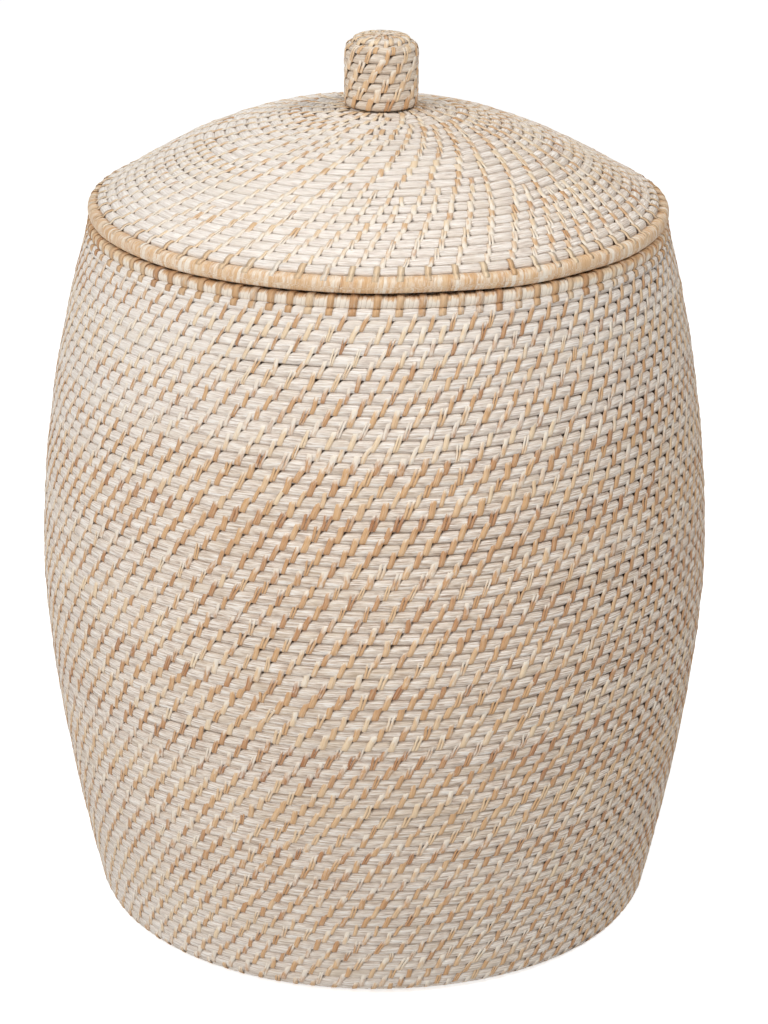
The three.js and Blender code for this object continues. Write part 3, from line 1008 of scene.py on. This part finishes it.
# ---- locating ring ---------------------------
lo, hi = (np.array(v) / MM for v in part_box("lid_seat_ring"))
seat_r = hi[0] - HALF_WALL
seat_mer = Meridian([(seat_r, lo[2] + 0.3), (seat_r, hi[2] - 3.0)])
seat_rows = max(2, round(seat_mer.length / PITCH))
seat = Weave(seat_mer, seat_rows, seat_mer.length / seat_rows, lambda r, s: 14.5, 6.0, 0.4, 3.7, rng,
             first=80, taper_start=True)
ob = seat.piece("lid_seat_weave", 0, seat_rows)
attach(ob, "lid")
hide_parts("lid_seat_ring")

# ---- knob ------------------------------------
lo, hi = (np.array(v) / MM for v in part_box("knob_coil"))
crown_lo, crown_hi = (np.array(v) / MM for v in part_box("knob_crown"))
KNOB_HALF = 2.75            # half thickness of its thinner core
KNOB_SKIN = KNOB_HALF + 0.55        # from the core's middle to the CAD surface
KNOB_ASIDE = 1.3            # the knob stands this far off the middle
kr = hi[0] - KNOB_SKIN
side = [(kr - 0.5, lo[2] + 0.2), (kr, lo[2] + 6), (kr, crown_lo[2] - 3), (kr, crown_lo[2] + 0.5)]
prof = rz("knob_crown")
prof = prof[(prof[:, 1] > crown_lo[2] + 0.5)]
prof = prof[np.argsort(-prof[:, 0] * 0.2 + prof[:, 1])]
top = [(max(0.0, r - (KNOB_HALF - 0.2) * min(1, r / 14)), z - KNOB_SKIN * (1 - min(1, (r / 26) ** 3)))
       for r, z in prof if r > 0.5]
knob_line = side + top + [(0.0, crown_hi[2] - KNOB_SKIN)]
knob_mer = Meridian(knob_line, 13.0)
rng = np.random.default_rng(43)
knob_rows = round(knob_mer.length / 6.1)
# The knob's turns get painted shade on their lower halves.
knob = Weave(knob_mer, knob_rows, knob_mer.length / knob_rows, lambda r, s: 12.0, 4.5, 0.28, 2.9, rng,
             first=12, taper_start=True, taper_end=False, half=KNOB_HALF, squeeze=1.06, flat=2.7,
             fair=0.14, stain=1.6, white=lambda th, s: 0.5 * np.clip((s - 38) / 8, 0, 1) - 0.15,
             lower_half_shade=lambda th: 0.46 + 0 * th, puff=lambda th: 0.05 + 0 * th)
crown_row = round(float(np.interp(crown_lo[2], knob_mer.z, knob_mer.s)) / knob.pitch)
for n, (j0, j1) in {"knob_coil": (0, crown_row), "knob_crown": (crown_row, knob_rows)}.items():
    ob = knob.piece(n + "_weave", j0, j1, KNOB_ASIDE)
    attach(ob, "lid")
    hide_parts(n)

# The hidden core of the knob keeps its CAD shape.
wood = Nodes("core_wood")
where = wood.t.nodes.new("ShaderNodeTexCoord")
grain = wood.noise(wood.stretch(where.outputs["Object"], 220, 220, 14), 1.0, 4, 0.6)
wood_colour = wood.ramp(grain, [(0.3, srgb(150, 112, 74)), (0.7, srgb(196, 160, 116))])
wood.t.links.new(wood_colour, wood.out.inputs["Base Color"])
wood.out.inputs["Roughness"].default_value = 0.7
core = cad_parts["knob_core"]
core.data.materials.clear()
core.data.materials.append(wood.mat)

# ---- floor, lights, camera -------------------
def stage_piece(name, verts, faces, base, gloss, glow):
    """A matt, slightly glowing piece of the studio."""
    me = bpy.data.meshes.new(name)
    me.from_pydata(verts, [], faces)
    ob = bpy.data.objects.new(name, me)
    bpy.context.scene.collection.objects.link(ob)
    mat = bpy.data.materials.new(name + "_pale")
    mat.use_nodes = True
    shader = mat.node_tree.nodes["Principled BSDF"]
    shader.inputs["Base Color"].default_value = (base, base, base, 1)
    shader.inputs["Roughness"].default_value = 0.95
    shader.inputs["Specular IOR Level"].default_value = gloss
    shader.inputs["Emission Color"].default_value = (1, 1, 1, 1)
    shader.inputs["Emission Strength"].default_value = glow
    me.materials.append(mat)
    ob.visible_diffuse = False      # it is pale, but throws no diffuse light back
    return ob


HALF_FLOOR = 9.0
floor = stage_piece("floor", [(x * HALF_FLOOR, y * HALF_FLOOR, 0) for x, y in
                              ((-1, -1), (1, -1), (1, 1), (-1, 1))], [(0, 1, 2, 3)], 0.88, 0.1, 0.58)

# A pale wall all round, seen by the camera alone, gives every view the photograph's plain ground.
WALL_AWAY, WALL_HIGH, WALL_SIDES = 8.9, 12.0, 64
ring = [(WALL_AWAY * math.cos(q), WALL_AWAY * math.sin(q))
        for q in np.arange(WALL_SIDES) * TAU / WALL_SIDES]
wall_faces = [(i, (i + 1) % WALL_SIDES, (i + 1) % WALL_SIDES + WALL_SIDES, i + WALL_SIDES)
              for i in range(WALL_SIDES)]
backdrop = stage_piece("backdrop", [(x, y, z) for z in (0, WALL_HIGH) for x, y in ring], wall_faces,
                       0.0, 0.0, 0.9)
for rays in ("glossy", "transmission", "volume_scatter", "shadow"):
    setattr(backdrop, "visible_" + rays, False)

world = bpy.data.worlds.new("studio")
bpy.context.scene.world = world
world.use_nodes = True
bg = world.node_tree.nodes["Background"]
wt = world.node_tree
way = wt.nodes.new("ShaderNodeSeparateXYZ")
wt.links.new(wt.nodes.new("ShaderNodeTexCoord").outputs["Generated"], way.inputs[0])
dome = wt.nodes.new("ShaderNodeMapRange")
dome.inputs["From Min"].default_value = -1.0
wt.links.new(way.outputs["Z"], dome.inputs["Value"])
sky = wt.nodes.new("ShaderNodeValToRGB")
sky.color_ramp.elements[0].color = (0.62,) * 3 + (1,)       # bounce from the floor
sky.color_ramp.elements[1].color = (0.6,) * 3 + (1,)
sky.color_ramp.elements.new(0.5).color = (0.38,) * 3 + (1,)
wt.links.new(dome.outputs[0], sky.inputs[0])
wt.links.new(sky.outputs[0], bg.inputs["Color"])
across = wt.nodes.new("ShaderNodeMapRange")         # the right side of the studio is darker
across.inputs["From Min"].default_value = -1.0
across.inputs["To Min"].default_value = 1.2
across.inputs["To Max"].default_value = 0.25
wt.links.new(way.outputs["X"], across.inputs["Value"])
wt.links.new(across.outputs[0], bg.inputs["Strength"])


def area(name, place, target, size, power, colour=(1, 1, 1)):
    """A soft light at place, facing target."""
    light = bpy.data.lights.new(name, "AREA")
    light.shape = "RECTANGLE"
    light.size, light.size_y = size
    light.energy = power
    light.color = colour
    o = bpy.data.objects.new(name, light)
    bpy.context.scene.collection.objects.link(o)
    o.location = place
    o.rotation_euler = (Vector(target) - Vector(place)).to_track_quat("-Z", "Y").to_euler()


area("key", (-2.1, -1.6, 2.0), (0, 0, 0.3), (2.4, 2.0), 28, (1, 0.995, 0.99))
area("top", (-1.1, -0.6, 2.9), (0, 0, 0.4), (1.6, 1.6), 20.5)
area("side", (1.6, -0.6, 2.3), (0, 0, 0.2), (0.5, 0.5), 26.5)
area("low", (0.05, -2.0, 0.2), (0, 0, 0.05), (0.9, 0.3), 13)

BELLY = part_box(WALLS[8])[1][0]      # greatest radius, m
PITCH_DOWN, ROLL = math.radians(20.7), math.radians(0.52)
cam_data = bpy.data.cameras.new("camera")
cam_data.sensor_width = 36
cam_data.lens = 112.5
cam_data.clip_end = 50
cam = bpy.data.objects.new("camera", cam_data)
bpy.context.scene.collection.objects.link(cam)
eye = Vector((0.0057, -9.02 * BELLY, 4.585 * BELLY))
cam.matrix_world = (Matrix.Translation(eye) @ Matrix.Rotation(math.pi / 2 - PITCH_DOWN, 4, "X")
                    @ Matrix.Rotation(ROLL, 4, "Z"))
bpy.context.scene.camera = cam

bpy.context.scene.view_settings.view_transform = "Standard"
